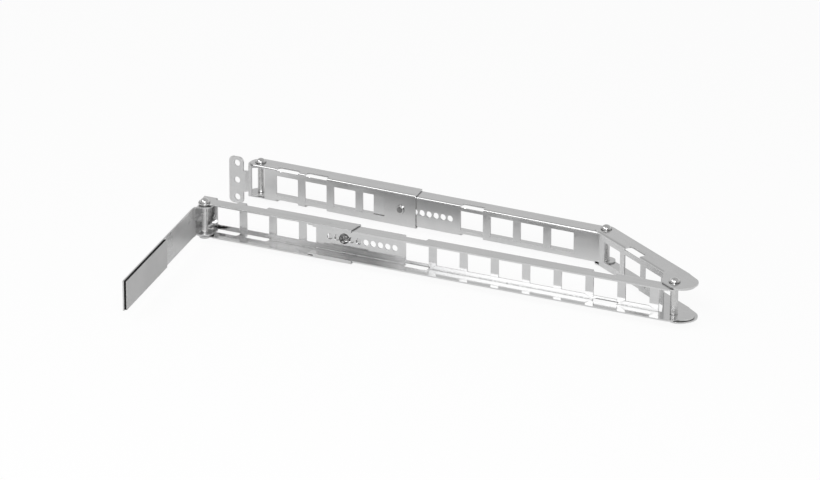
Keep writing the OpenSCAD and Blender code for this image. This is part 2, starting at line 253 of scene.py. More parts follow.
class EffectLibrary:
    """Builds each shared effect once and places it in materials."""

    def __init__(self) -> None:
        """Starts with no group built."""
        self.groups: dict[Effect, bpy.types.NodeTree] = {}

    def _new(
        self, effect: Effect, inputs: dict[str, tuple[Kind, Any]], outputs: Iterable[str]
    ) -> tuple[NodeSheet, bpy.types.Node, bpy.types.Node]:
        """Starts a node group.

        Args:
            effect: Which effect it is.
            inputs: Input names with their kind and default.
            outputs: Names of the value outputs.

        Returns:
            The group's sheet, its input node and its output node.
        """
        tree = bpy.data.node_groups.new(effect.value, "ShaderNodeTree")
        for name, (kind, default) in inputs.items():
            socket = tree.interface.new_socket(name, in_out="INPUT", socket_type=kind.value)
            socket.default_value = default
        for name in outputs:
            tree.interface.new_socket(name, in_out="OUTPUT", socket_type=Kind.VALUE.value)
        sheet = NodeSheet(tree)
        return sheet, sheet.add("NodeGroupInput"), sheet.add("NodeGroupOutput")

    def get(self, effect: Effect) -> bpy.types.NodeTree:
        """Gives the group of an effect, built on first use.

        Args:
            effect: Which effect.

        Returns:
            The node group.
        """
        if effect not in self.groups:
            maker = getattr(self, f"_make_{effect.value}")
            self.groups[effect] = maker().tree
        return self.groups[effect]

    def place(self, sheet: NodeSheet, effect: Effect, **values: Any) -> bpy.types.Node:
        """Places an effect's group in a material.

        Args:
            sheet: The material's node sheet.
            effect: Which effect.
            values: Input values or sockets, with the inputs' names in lower case.

        Returns:
            The group node.
        """
        named = {key.replace("_", " ").title(): value for key, value in values.items()}
        return sheet.add("ShaderNodeGroup", named, node_tree=self.get(effect))

    def _make_rolled_grain(self) -> NodeSheet:
        """Fine lines that rolling leaves along a sheet, turned about Z to follow it.

        Returns:
            The group's sheet.
        """
        sheet, start, end = self._new(
            Effect.ROLLED_GRAIN,
            {"Turn": (Kind.VALUE, 0.0), "Along": (Kind.VALUE, 14.0), "Across": (Kind.VALUE, 2200.0)},
            ("Streaks", "Bands"),
        )
        wider, line_rough = (0.5, 0.09, 0.09), 0.62
        back = sheet.math("MULTIPLY", start.outputs["Turn"], -1.0)
        turned = sheet.add(
            "ShaderNodeVectorRotate", {"Vector": sheet.place(), "Angle": back}, rotation_type="Z_AXIS"
        ).outputs[0]
        along, across = start.outputs["Along"], start.outputs["Across"]
        stretch = sheet.add("ShaderNodeCombineXYZ", {"X": along, "Y": across, "Z": across}).outputs[0]
        scaled = sheet.vector("MULTIPLY", turned, stretch).outputs[0]
        wide = sheet.vector("MULTIPLY", scaled, wider).outputs[0]
        sheet.join(sheet.noise(scaled, 1.0, detail=3.0, rough=line_rough), end, "Streaks")
        sheet.join(sheet.noise(wide, 1.0, detail=2.0), end, "Bands")
        return sheet

    def _make_plating_cloud(self) -> NodeSheet:
        """Slow clouds and small crystal patches of a zinc plating.

        Returns:
            The group's sheet.
        """
        sheet, start, end = self._new(
            Effect.PLATING_CLOUD,
            {"Cloud Scale": (Kind.VALUE, 38.0), "Crystal Scale": (Kind.VALUE, 900.0)},
            ("Cloud", "Crystal"),
        )
        cloud_rough, cloud_warp = 0.55, 0.4
        place = sheet.place()
        cloud = sheet.noise(place, start.outputs["Cloud Scale"], 4.0, cloud_rough, cloud_warp)
        crystal = sheet.add(
            "ShaderNodeTexVoronoi", {"Vector": place, "Scale": start.outputs["Crystal Scale"]}, feature="F1"
        )
        shade = sheet.add("ShaderNodeSeparateColor", {0: crystal.outputs["Color"]}).outputs[0]
        sheet.join(cloud, end, "Cloud")
        sheet.join(shade, end, "Crystal")
        return sheet

    def _make_edge_wear(self) -> NodeSheet:
        """Mask of rubbed edges, broken up by noise.

        Returns:
            The group's sheet.
        """
        sheet, start, end = self._new(
            Effect.EDGE_WEAR,
            {"Radius": (Kind.VALUE, 0.4 * MM), "Breakup": (Kind.VALUE, 420.0)},
            ("Edge",),
        )
        least_bend, full_bend = 0.02, 0.22
        patch_low, patch_high, least_wear = 0.34, 0.6, 0.35
        values = {"Radius": start.outputs["Radius"]}
        round_normal = sheet.add("ShaderNodeBevel", values, samples=RAY_SAMPLES).outputs[0]
        even = sheet.vector("DOT_PRODUCT", round_normal, sheet.normal()).outputs["Value"]
        bent = sheet.math("SUBTRACT", 1.0, even, clamp=True)
        edge = sheet.span(bent, least_bend, full_bend)
        noise = sheet.noise(sheet.place(), start.outputs["Breakup"], detail=3.0)
        worn = sheet.span(noise, patch_low, patch_high, to_low=least_wear)
        sheet.join(sheet.math("MULTIPLY", edge, worn), end, "Edge")
        return sheet

    def _make_scuffs(self) -> NodeSheet:
        """Mask of thin handling scratches in two directions.

        Returns:
            The group's sheet.
        """
        sheet, start, end = self._new(
            Effect.SCUFFS,
            {"Turn": (Kind.VALUE, 0.35), "Density": (Kind.VALUE, 0.5), "Scale": (Kind.VALUE, 60.0)},
            ("Scratch",),
        )
        axis, drawn_out, line_width = (0.3, 0.8, 0.5), (1.0, 26.0, 26.0), 0.035
        patch_spread, patch_least = 0.45, 0.35
        place = sheet.place()
        marks = []
        for lean, patch_scale in ((1.0, 31.0), (-1.7, 23.0)):
            angle = sheet.math("MULTIPLY", start.outputs["Turn"], lean)
            values = {"Vector": place, "Axis": axis, "Angle": angle}
            turned = sheet.add("ShaderNodeVectorRotate", values).outputs[0]
            drawn = sheet.vector("MULTIPLY", turned, drawn_out).outputs[0]
            values = {"Vector": drawn, "Scale": start.outputs["Scale"]}
            cells = sheet.add("ShaderNodeTexVoronoi", values, feature="DISTANCE_TO_EDGE")
            line = sheet.span(cells.outputs["Distance"], 0.0, line_width, 1.0, 0.0)
            patch = sheet.noise(turned, patch_scale, detail=2.0)
            bare = sheet.math("SUBTRACT", 1.0, start.outputs["Density"])
            least = sheet.math("MULTIPLY_ADD", bare, patch_spread, patch_least)
            kept = sheet.math("GREATER_THAN", patch, least)
            marks.append(sheet.math("MULTIPLY", line, kept))
        sheet.join(sheet.math("MAXIMUM", *marks), end, "Scratch")
        return sheet

    def _make_corner_grime(self) -> NodeSheet:
        """Mask of the tight corners from ambient occlusion, used for painted shade.

        Returns:
            The group's sheet.
        """
        # This mask drives painted shade: the finishes darken tight corners towards near black where
        # occlusion is high.
        sheet, start, end = self._new(Effect.CORNER_PAINTED_SHADE, {"Reach": (Kind.VALUE, 3.0 * MM)}, ("Corner",))
        speck_scale, least_painted_shade = 500.0, 0.6
        values = {"Distance": start.outputs["Reach"]}
        open_share = sheet.add("ShaderNodeAmbientOcclusion", values, samples=RAY_SAMPLES).outputs["AO"]
        shut = sheet.math("SUBTRACT", 1.0, open_share, clamp=True)
        noise = sheet.noise(sheet.place(), speck_scale, detail=3.0)
        broken = sheet.span(noise, *NOISE_MIDDLE, to_low=least_painted_shade)
        sheet.join(sheet.math("MULTIPLY", shut, broken), end, "Corner")
        return sheet

    def _make_dust(self) -> NodeSheet:
        """Mask of thin dust on faces that look up.

        Returns:
            The group's sheet.
        """
        sheet, start, end = self._new(Effect.DUST, {"Amount": (Kind.VALUE, 0.2)}, ("Dust",))
        least_up, full_up = 0.4, 0.95
        patch_scale, patch_rough, patch_low, patch_high = 160.0, 0.7, 0.4, 0.75
        up = sheet.add("ShaderNodeSeparateXYZ", {0: sheet.normal()}).outputs["Z"]
        facing = sheet.span(up, least_up, full_up)
        noise = sheet.noise(sheet.place(), patch_scale, detail=5.0, rough=patch_rough)
        patch = sheet.span(noise, patch_low, patch_high)
        both = sheet.math("MULTIPLY", facing, patch)
        sheet.join(sheet.math("MULTIPLY", both, start.outputs["Amount"]), end, "Dust")
        return sheet

    def _make_turned_rings(self) -> NodeSheet:
        """Rings that a forming die or a lathe leaves about an axis.

        Returns:
            The group's sheet.
        """
        inputs = {
            "Centre": (Kind.VECTOR, (0.0, 0.0, 0.0)),
            "Keep": (Kind.VECTOR, (1.0, 1.0, 0.0)),
            "Pitch": (Kind.VALUE, 0.45 * MM),
        }
        sheet, start, end = self._new(Effect.TURNED_RINGS, inputs, ("Rings",))
        speck_scale = 700.0
        place = sheet.place()
        offset = sheet.vector("SUBTRACT", place, start.outputs["Centre"]).outputs[0]
        flat = sheet.vector("MULTIPLY", offset, start.outputs["Keep"]).outputs[0]
        radius = sheet.vector("LENGTH", flat).outputs["Value"]
        turn = sheet.math("DIVIDE", radius, start.outputs["Pitch"])
        wave = sheet.math("SINE", sheet.math("MULTIPLY", turn, 2 * math.pi))
        ring = sheet.math("MULTIPLY_ADD", wave, 0.5, 0.5)
        uneven = sheet.noise(place, speck_scale, detail=2.0)
        sheet.join(sheet.math("MULTIPLY", ring, uneven), end, "Rings")
        return sheet

    def _make_foam_cells(self) -> NodeSheet:
        """Closed cells of a soft foam: cell tone and cell depth.

        Returns:
            The group's sheet.
        """
        sheet, start, end = self._new(
            Effect.FOAM_CELLS, {"Cell Scale": (Kind.VALUE, 2600.0)}, ("Tone", "Depth")
        )
        swell_scale, swell = 260.0, 0.5
        place = sheet.place()
        values = {"Vector": place, "Scale": start.outputs["Cell Scale"]}
        cells = sheet.add("ShaderNodeTexVoronoi", values, feature="F1")
        shade = sheet.add("ShaderNodeSeparateColor", {0: cells.outputs["Color"]}).outputs[1]
        soft = sheet.noise(place, swell_scale, detail=3.0)
        depth = sheet.math("MULTIPLY_ADD", soft, swell, cells.outputs["Distance"])
        sheet.join(shade, end, "Tone")
        sheet.join(depth, end, "Depth")
        return sheet


# ---------------------------------------------------------------------------------------------------
# Finishes
# ---------------------------------------------------------------------------------------------------


def grey(level: float, warmth: float = 0.0) -> tuple[float, float, float, float]:
    """A near-neutral linear colour.

    Args:
        level: Brightness from 0 to 1.
        warmth: Positive leans to red, negative to blue.

    Returns:
        An RGBA tuple.
    """
    return (level * (1 + warmth), level, level * (1 - warmth), 1.0)


def fresh_material(name: str) -> tuple[bpy.types.Material, NodeSheet, bpy.types.Node]:
    """Starts a material with a bare Principled shader.

    Args:
        name: Name of the material.

    Returns:
        The material, its node sheet and its shader.
    """
    made = bpy.data.materials.new(name)
    made.use_nodes = True
    made.node_tree.nodes.clear()
    sheet = NodeSheet(made.node_tree)
    shader = sheet.add("ShaderNodeBsdfPrincipled")
    sheet.add("ShaderNodeOutputMaterial", {"Surface": shader.outputs[0]})
    return made, sheet, shader


@dataclass(frozen=True)
class Relief:
    """How deep a finish's bump goes."""

    strength: float
    depth: float

    def apply_to(self, sheet: NodeSheet, shader: bpy.types.Node, height: bpy.types.NodeSocket) -> None:
        """Adds the bump to a shader.

        Args:
            sheet: The material's node sheet.
            shader: The shader that gets it.
            height: The height from 0 to about 1.
        """
        values = {"Strength": self.strength, "Distance": self.depth, "Height": height}
        sheet.join(sheet.add("ShaderNodeBump", values).outputs[0], shader, "Normal")


@dataclass(frozen=True)
class PlatedSheet:
    """Zinc-plated sheet steel with rolling lines, clouds, rubbed edges, light handling marks and painted
    shade in its tight corners.
    """

    name: str
    turn_deg: float = 0.0
    tone: float = 0.76
    dark_tone: float = 0.66
    edge_tone: float = 0.9
    # Colour of the painted shade in tight corners.
    painted_shade_tone: float = 0.05
    scuff_tone: float = 0.85
    dust_tone: float = 0.6
    smooth: float = 0.08
    dull: float = 0.14
    grain_strength: float = 0.35
    grain_depth: float = 0.0016 * MM
    cloud_scale: float = 34.0
    edge_radius: float = 0.35 * MM
    scuff_lean: float = 0.3
    scuff_density: float = 0.3
    scuff_share: float = 0.3
    scuff_height: float = -1.5
    # Reach and strength of the painted shade in tight corners.
    painted_shade_reach: float = 2.6 * MM
    painted_shade_depth: float = 0.85
    dust_amount: float = 0.12

    def make(self, effects: EffectLibrary) -> bpy.types.Material:
        """Builds the material.

        Args:
            effects: The shared effects.

        Returns:
            The material.
        """
        made, sheet, shader = fresh_material(self.name)
        sheet.fill(shader, "Metallic", 1.0)
        turn = math.radians(self.turn_deg)
        grain = effects.place(sheet, Effect.ROLLED_GRAIN, turn=turn).outputs
        cloud = effects.place(sheet, Effect.PLATING_CLOUD, cloud_scale=self.cloud_scale).outputs
        edge = effects.place(sheet, Effect.EDGE_WEAR, radius=self.edge_radius).outputs["Edge"]
        corner = effects.place(sheet, Effect.CORNER_PAINTED_SHADE, reach=self.painted_shade_reach).outputs["Corner"]
        dust = effects.place(sheet, Effect.DUST, amount=self.dust_amount).outputs["Dust"]
        scuff = effects.place(
            sheet, Effect.SCUFFS, turn=turn + self.scuff_lean, density=self.scuff_density
        ).outputs["Scratch"]

        blotch = sheet.span(cloud["Cloud"], *NOISE_MIDDLE)
        lines = sheet.span(grain["Streaks"], 0.25, 0.75)
        bands = sheet.span(grain["Bands"], *NOISE_MIDDLE)
        line_tone, blotch_tone, band_tone, crystal_tone = 0.3, 0.35, 0.2, 0.12
        shade = sheet.math("MULTIPLY_ADD", lines, line_tone, sheet.math("MULTIPLY", blotch, blotch_tone))
        shade = sheet.math("MULTIPLY_ADD", bands, band_tone, shade)
        shade = sheet.math("MULTIPLY_ADD", cloud["Crystal"], crystal_tone, shade, clamp=True)
        base = sheet.mix(shade, grey(self.dark_tone, -0.004), grey(self.tone, 0.002))
        base = sheet.mix(edge, base, grey(self.edge_tone))
        # Painted shade: the occlusion mask darkens corners, gaps and hole walls towards near black.
        painted_shade = sheet.span(corner, *PAINTED_SHADE_SPAN, to_high=self.painted_shade_depth)
        base = sheet.mix(painted_shade, base, grey(self.painted_shade_tone, 0.03))
        base = sheet.mix(sheet.math("MULTIPLY", scuff, self.scuff_share), base, grey(self.scuff_tone))
        base = sheet.mix(dust, base, grey(self.dust_tone, 0.03))
        sheet.join(base, shader, "Base Color")

        line_rough, blotch_rough, crystal_rough = 0.35, 0.4, 0.25
        dust_rough, edge_rough, scuff_rough = 0.6, -0.06, 0.12
        rough = sheet.math("MULTIPLY_ADD", lines, line_rough, sheet.math("MULTIPLY", blotch, blotch_rough))
        rough = sheet.math("MULTIPLY_ADD", cloud["Crystal"], crystal_rough, rough)
        rough = sheet.span(rough, 0.0, 1.0, self.smooth, self.dull)
        rough = sheet.math("MULTIPLY_ADD", dust, dust_rough, rough)
        rough = sheet.math("MULTIPLY_ADD", edge, edge_rough, rough)
        rough = sheet.math("MULTIPLY_ADD", scuff, scuff_rough, rough, clamp=True)
        sheet.join(rough, shader, "Roughness")

        height = sheet.math("ADD", grain["Streaks"], cloud["Crystal"])
        height = sheet.math("MULTIPLY_ADD", scuff, self.scuff_height, height)
        Relief(self.grain_strength, self.grain_depth).apply_to(sheet, shader, height)
        return made


@dataclass(frozen=True)
class PlatedHardware:
    """Bright-plated rivets, spacers, washers, screws and nuts with turning rings about their axis and
    painted shade in their tight corners.
    """

    name: str
    centre: tuple[float, float, float]
    keep: tuple[float, float, float] = (1.0, 1.0, 0.0)
    tone: float = 0.82
    dark_tone: float = 0.6
    edge_tone: float = 0.93
    # Colour of the painted shade in tight corners.
    painted_shade_tone: float = 0.03
    smooth: float = 0.12
    dull: float = 0.26
    cloud_scale: float = 220.0
    crystal_scale: float = 2400.0
    edge_radius: float = 0.3 * MM
    edge_breakup: float = 900.0
    # Reach and strength of the painted shade in tight corners.
    painted_shade_reach: float = 2.0 * MM
    painted_shade_depth: float = 0.95
    relief: Relief = Relief(0.3, 0.012 * MM)

    def make(self, effects: EffectLibrary) -> bpy.types.Material:
        """Builds the material.

        Args:
            effects: The shared effects.

        Returns:
            The material.
        """
        made, sheet, shader = fresh_material(self.name)
        sheet.fill(shader, "Metallic", 1.0)
        rings = effects.place(
            sheet, Effect.TURNED_RINGS, centre=self.centre, keep=self.keep
        ).outputs["Rings"]
        cloud = effects.place(
            sheet, Effect.PLATING_CLOUD, cloud_scale=self.cloud_scale, crystal_scale=self.crystal_scale
        ).outputs
        edge = effects.place(
            sheet, Effect.EDGE_WEAR, radius=self.edge_radius, breakup=self.edge_breakup
        ).outputs["Edge"]
        corner = effects.place(sheet, Effect.CORNER_PAINTED_SHADE, reach=self.painted_shade_reach).outputs["Corner"]

        blotch_tone, ring_tone = 0.5, 0.5
        blotch = sheet.span(cloud["Cloud"], *NOISE_MIDDLE, to_high=blotch_tone)
        shade = sheet.math("MULTIPLY_ADD", rings, ring_tone, blotch)
        base = sheet.mix(shade, grey(self.dark_tone), grey(self.tone, 0.004))
        base = sheet.mix(edge, base, grey(self.edge_tone))
        # Painted shade: the occlusion mask darkens recesses and contact corners towards near black.
        painted_shade = sheet.span(corner, *PAINTED_SHADE_SPAN, to_high=self.painted_shade_depth)
        sheet.join(sheet.mix(painted_shade, base, grey(self.painted_shade_tone, 0.05)), shader, "Base Color")

        crystal_rough, corner_rough, full_rough = 0.5, 0.3, 1.2
        rough = sheet.math("MULTIPLY_ADD", cloud["Crystal"], crystal_rough, rings)
        rough = sheet.span(rough, 0.0, full_rough, self.smooth, self.dull)
        rough = sheet.math("MULTIPLY_ADD", corner, corner_rough, rough, clamp=True)
        sheet.join(rough, shader, "Roughness")
        self.relief.apply_to(sheet, shader, rings)
        return made


@dataclass(frozen=True)
class CellFoam:
    """Black closed-cell foam, greyer on its rubbed edges."""

    name: str = "cell_foam"
    tone: float = 0.006
    cut_tone: float = 0.018
    edge_tone: float = 0.03
    dust_tone: float = 0.2
    edge_share: float = 0.3
    smooth: float = 0.72
    dull: float = 0.95
    gloss: float = 0.25
    cell_scale: float = 2300.0
    edge_radius: float = 0.5 * MM
    dust_amount: float = 0.06
    relief: Relief = Relief(0.7, 0.12 * MM)

    def make(self, effects: EffectLibrary) -> bpy.types.Material:
        """Builds the material.

        Args:
            effects: The shared effects.

        Returns:
            The material.
        """
        made, sheet, shader = fresh_material(self.name)
        cells = effects.place(sheet, Effect.FOAM_CELLS, cell_scale=self.cell_scale).outputs
        dust = effects.place(sheet, Effect.DUST, amount=self.dust_amount).outputs["Dust"]
        edge = effects.place(sheet, Effect.EDGE_WEAR, radius=self.edge_radius).outputs["Edge"]
        base = sheet.mix(cells["Tone"], grey(self.tone), grey(self.cut_tone, 0.01))
        base = sheet.mix(sheet.math("MULTIPLY", edge, self.edge_share), base, grey(self.edge_tone))
        sheet.join(sheet.mix(dust, base, grey(self.dust_tone, 0.02)), shader, "Base Color")
        sheet.join(sheet.span(cells["Depth"], 0.0, 1.0, self.smooth, self.dull), shader, "Roughness")
        sheet.fill(shader, "Specular IOR Level", self.gloss)
        self.relief.apply_to(sheet, shader, cells["Depth"])
        return made


@dataclass(frozen=True)
class FilmLiner:
    """Matt grey film over the foam, with faint orange peel and the foam's waviness showing through."""

    name: str = "film_liner"
    tone: float = 0.6
    dark_tone: float = 0.54
    edge_tone: float = 0.68
    edge_share: float = 0.5
    scuff_tone: float = 0.66
    scuff_share: float = 0.25
    dust_tone: float = 0.55
    dull: float = 0.5
    dull_change: float = 0.08
    swell: float = 6.0
    cloud_scale: float = 26.0
    crystal_scale: float = 1500.0
    scuff_turn: float = 0.9
    scuff_density: float = 0.3
    scuff_scale: float = 45.0
    edge_radius: float = 0.3 * MM
    dust_amount: float = 0.2
    relief: Relief = Relief(0.3, 0.02 * MM)

    def make(self, effects: EffectLibrary) -> bpy.types.Material:
        """Builds the material.

        Args:
            effects: The shared effects.

        Returns:
            The material.
        """
        made, sheet, shader = fresh_material(self.name)
        cloud = effects.place(
            sheet, Effect.PLATING_CLOUD, cloud_scale=self.cloud_scale, crystal_scale=self.crystal_scale
        ).outputs
        scuff = effects.place(
            sheet, Effect.SCUFFS, turn=self.scuff_turn, density=self.scuff_density, scale=self.scuff_scale
        ).outputs["Scratch"]
        edge = effects.place(sheet, Effect.EDGE_WEAR, radius=self.edge_radius).outputs["Edge"]
        dust = effects.place(sheet, Effect.DUST, amount=self.dust_amount).outputs["Dust"]
        blotch = sheet.span(cloud["Cloud"], *NOISE_MIDDLE)
        base = sheet.mix(blotch, grey(self.dark_tone), grey(self.tone, 0.003))
        base = sheet.mix(sheet.math("MULTIPLY", edge, self.edge_share), base, grey(self.edge_tone))
        base = sheet.mix(sheet.math("MULTIPLY", scuff, self.scuff_share), base, grey(self.scuff_tone))
        sheet.join(sheet.mix(dust, base, grey(self.dust_tone, 0.02)), shader, "Base Color")
        rough = sheet.math("MULTIPLY_ADD", cloud["Crystal"], self.dull_change, self.dull)
        sheet.join(sheet.math("MULTIPLY_ADD", blotch, self.dull_change, rough), shader, "Roughness")
        height = sheet.math("MULTIPLY_ADD", cloud["Cloud"], self.swell, cloud["Crystal"])
        self.relief.apply_to(sheet, shader, height)
        return made


# ---------------------------------------------------------------------------------------------------
# Dressing construction pieces
# ---------------------------------------------------------------------------------------------------


@dataclass(frozen=True)
class EdgeBreak:
    """How far a punched or turned edge is rounded off."""

    width: float = 0.14 * MM
    segments: int = 2
    limit_deg: float = 32.0
    seam: float = 0.004 * MM
    face_weight: int = 60

    def apply_to(self, piece: bpy.types.Object) -> None:
        """Adds the modifiers that round the edges.

        Args:
            piece: The object that gets them.
        """
        weld = piece.modifiers.new("weld_seams", "WELD")
        weld.merge_threshold = self.seam
        bevel = piece.modifiers.new("edge_break", "BEVEL")
        bevel.width = self.width
        bevel.segments = self.segments
        bevel.limit_method = "ANGLE"
        bevel.angle_limit = math.radians(self.limit_deg)
        bevel.harden_normals = False
        bevel.use_clamp_overlap = True
        normals = piece.modifiers.new("flat_faces", "WEIGHTED_NORMAL")
        normals.keep_sharp = False
        normals.weight = self.face_weight


def shade_smooth(data: bpy.types.Mesh) -> None:
    """Marks every face of a mesh as smooth."""
    for face in data.polygons:
        face.use_smooth = True


def dress(node: str, material: bpy.types.Material, edges: EdgeBreak) -> None:
    """Gives a construction piece its finish and its rounded edges.

    Args:
        node: Name of the construction piece.
        material: The finish.
        edges: How its edges are rounded.
    """
    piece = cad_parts[node]
    piece.data.materials.clear()
    piece.data.materials.append(material)
    shade_smooth(piece.data)
    edges.apply_to(piece)
    LOG.info("dressed %s with %s", node, material.name)


def middle(node: str) -> Vector:
    """Centre of a construction piece's box."""
    low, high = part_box(node)
    return (low + high) / 2


# ---------------------------------------------------------------------------------------------------
# Sub-assemblies
# ---------------------------------------------------------------------------------------------------


@dataclass
class RackEar:
    """The flat ear that is screwed to the rack's rear rail, with its two hinge lugs."""

    effects: EffectLibrary
    edges: EdgeBreak = field(default_factory=lambda: EdgeBreak(width=0.18 * MM))

    def build(self) -> None:
        """Dresses the ear."""
        finish = PlatedSheet(
            "ear_plating", tone=0.8, dark_tone=0.66, smooth=0.26, dull=0.42, grain_depth=0.01 * MM
        )
        dress("rack_ear_bracket", finish.make(self.effects), self.edges)


@dataclass
class TelescopicArm:
    """An outer channel that slides over an inner one, held by a clinch nut and a lock screw."""

    effects: EffectLibrary
    prefix: str
    turn_deg: float
    edges: EdgeBreak = field(default_factory=EdgeBreak)
    small_edges: EdgeBreak = field(default_factory=lambda: EdgeBreak(width=0.08 * MM))
    across: tuple[float, float, float] = (1.0, 0.0, 1.0)

    def build(self) -> None:
        """Dresses both channels, the nut and the screw."""
        outer = PlatedSheet(f"{self.prefix}_outer_plating", self.turn_deg)
        inner = PlatedSheet(f"{self.prefix}_inner_plating", self.turn_deg, tone=0.78, dark_tone=0.69)
        dress(f"{self.prefix}_outer_channel", outer.make(self.effects), self.edges)
        dress(f"{self.prefix}_inner_channel", inner.make(self.effects), self.edges)
        centre = tuple(middle(f"{self.prefix}_lock_screw"))
        screw = PlatedHardware(
            f"{self.prefix}_screw_plating",
            centre,
            self.across,
            tone=0.5,
            dark_tone=0.22,
            # A longer reach spreads the painted shade further over the screw's recess and head.
            painted_shade_reach=3.2 * MM,
        )
        nut = PlatedHardware(
            f"{self.prefix}_nut_plating", centre, self.across, tone=0.78, dark_tone=0.66
        )
        dress(f"{self.prefix}_lock_screw", screw.make(self.effects), self.small_edges)
        dress(f"{self.prefix}_clinch_nut", nut.make(self.effects), self.small_edges)


@dataclass
class ElbowLink:
    """The short channel between the two arms, with a rounded paddle at its front end."""

    effects: EffectLibrary
    turn_deg: float
    edges: EdgeBreak = field(default_factory=EdgeBreak)

    def build(self) -> None:
        """Dresses the link."""
        # The link's painted corner shade is kept weak, so its tight gaps do not turn black.
        finish = PlatedSheet("link_plating", self.turn_deg, tone=0.77, dark_tone=0.68, painted_shade_depth=0.35)
        dress("link_channel", finish.make(self.effects), self.edges)


@dataclass
class HingeStack:
    """One riveted hinge: a rivet, a spacer tube and its washers."""

    effects: EffectLibrary
    name: str
    edges: EdgeBreak = field(default_factory=lambda: EdgeBreak(width=0.09 * MM))

    def build(self) -> None:
        """Dresses the three kinds of turned piece."""
        centre = tuple(middle(f"{self.name}_rivet"))
        rivet = PlatedHardware(f"{self.name}_rivet_plating", centre, tone=0.84, dark_tone=0.62)
        tube = PlatedHardware(
            f"{self.name}_tube_plating", centre, tone=0.8, dark_tone=0.62, smooth=0.16, dull=0.3
        )
        washer = PlatedHardware(
            f"{self.name}_washer_plating", centre, tone=0.66, dark_tone=0.46, smooth=0.2, dull=0.34
        )
        for part, finish in (("rivet", rivet), ("spacer", tube), ("washers", washer)):
            dress(f"{self.name}_{part}", finish.make(self.effects), self.edges)


